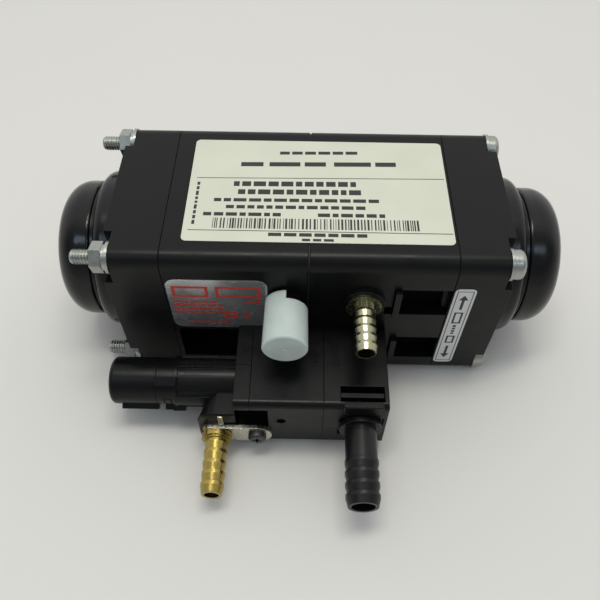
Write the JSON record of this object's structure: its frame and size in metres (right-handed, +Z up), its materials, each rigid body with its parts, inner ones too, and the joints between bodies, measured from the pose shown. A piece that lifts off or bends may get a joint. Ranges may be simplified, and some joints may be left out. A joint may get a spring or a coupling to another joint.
{
  "type": "gas-driven diaphragm pump",
  "caption": "Gas-driven double-diaphragm beverage pump: square body with domed ends, front valve block, hose barbs, sold-out shut-off and slide clips.",
  "frame": {"origin": "middle of the body's underside", "axes": "+X along the pump towards the bolt heads, -Y out of the port side, +Z up"},
  "size_m": [0.1864, 0.1315, 0.069],
  "materials": {
    "body_plastic": "satin moulded black, faint orange peel",
    "dome_plastic": "gloss black with orange peel",
    "block_plastic": "semi-gloss moulded black",
    "clip_plastic": "satin black",
    "barb_plastic": "semi-gloss black",
    "rubber": "matt",
    "flap_rubber": "matt silicone",
    "acetal": "satin",
    "zinc_plate": "bright zinc plate",
    "stainless": "turned stainless steel",
    "bright_plate": "bright sheet steel",
    "black_screw": "black oxide",
    "brass": "turned",
    "soft_cap": "soft translucent white",
    "label_pale": "satin metallised film",
    "label_silver": "satin silver film",
    "label_white": "white film"
  },
  "bodies": {
    "pump_body": {"mid_housing_left": "body_plastic", "mid_housing_right": "body_plastic", "centre_gasket": "rubber", "end_cap_left": "body_plastic", "end_cap_right": "body_plastic", "dome_left": "dome_plastic", "dome_right": "dome_plastic", "diaphragm_left": "rubber", "diaphragm_right": "rubber", "shaft_seals": "rubber", "inlet_valve_seats": "acetal", "inlet_valve_flaps": "flap_rubber", "outlet_valve_seats": "acetal", "outlet_valve_flaps": "flap_rubber", "tie_bolts": "zinc_plate", "tie_nuts": "zinc_plate", "flat_washers": "zinc_plate", "lock_washers": "zinc_plate", "spool_body": "block_plastic", "spool_sleeve": "acetal", "inlet_manifold": "block_plastic", "inlet_manifold_seal": "rubber", "shutoff_body": "block_plastic", "gas_inlet_housing": "block_plastic", "shutoff_tube": "block_plastic", "retainer_plate": "bright_plate", "retainer_screw": "black_screw", "gas_out_nipple": "block_plastic", "top_label": "label_pale", "gas_label": "label_silver", "port_label": "label_white", "shutoff_spring": "stainless"},
    "shaft_assembly": {"pump_shaft": "stainless", "shaft_nuts": "stainless", "inner_piston_left": "acetal", "inner_piston_right": "acetal", "outer_piston_left": "acetal", "outer_piston_right": "acetal"},
    "spool": {"valve_spool": "stainless"},
    "shutoff_plunger": {"shutoff_piston": "acetal"},
    "bayonet_cap": {"shutoff_cap": "block_plastic"},
    "out_clip": {"out_slide_clip": "clip_plastic"},
    "in_clip": {"in_slide_clip": "clip_plastic"},
    "lift_clip": {"inlet_lift_clip": "clip_plastic"},
    "out_fitting": {"product_out_barb": "stainless", "out_barb_seal": "rubber"},
    "in_fitting": {"product_in_barb": "barb_plastic", "in_barb_seal": "rubber"},
    "gas_fitting": {"gas_in_barb": "brass", "gas_barb_seal": "rubber"},
    "vent_cap": {"gas_out_cap": "soft_cap"}
  },
  "joints": [
    {"name": "shaft_stroke", "type": "slide", "parent": "pump_body", "child": "shaft_assembly", "axis": [1, 0, 0], "range_m": [-0.008, 0.008], "deforming": ["diaphragm_left", "diaphragm_right"]},
    {"name": "spool_shift", "type": "slide", "parent": "pump_body", "child": "spool", "axis": [1, 0, 0], "range_m": [-0.0024, 0.0024]},
    {"name": "shutoff_travel", "type": "slide", "parent": "pump_body", "child": "shutoff_plunger", "axis": [1, 0, 0], "range_m": [-0.005, 0], "stiffness_N_per_m": 300, "springref_m": 0.002, "deforming": ["shutoff_spring"]},
    {"name": "bayonet_twist", "type": "hinge", "parent": "pump_body", "child": "bayonet_cap", "pos_m": [-0.06, -0.0508, 0.0173], "axis": [1, 0, 0], "range_deg": [0, 26]},
    {"name": "out_clip_slide", "type": "slide", "parent": "pump_body", "child": "out_clip", "axis": [1, 0, 0], "range_m": [0, 0.016]},
    {"name": "in_clip_slide", "type": "slide", "parent": "pump_body", "child": "in_clip", "axis": [1, 0, 0], "range_m": [0, 0.0144]},
    {"name": "lift_clip_slide", "type": "slide", "parent": "pump_body", "child": "lift_clip", "axis": [0, 0, 1], "range_m": [0, 0.016]},
    {"name": "out_swivel", "type": "hinge", "parent": "pump_body", "child": "out_fitting", "pos_m": [0.0196, -0.034, 0.0469], "axis": [0, -1, 0], "continuous": true},
    {"name": "in_swivel", "type": "hinge", "parent": "pump_body", "child": "in_fitting", "pos_m": [0.0196, -0.034, 0.0173], "axis": [0, -1, 0], "continuous": true},
    {"name": "gas_swivel", "type": "hinge", "parent": "pump_body", "child": "gas_fitting", "pos_m": [-0.0324, -0.064, 0.0104], "axis": [0, -1, 0], "continuous": true},
    {"name": "vent_cap_pull", "type": "slide", "parent": "pump_body", "child": "vent_cap", "axis": [0, -1, 0], "range_m": [0, 0.02]}
  ]
}
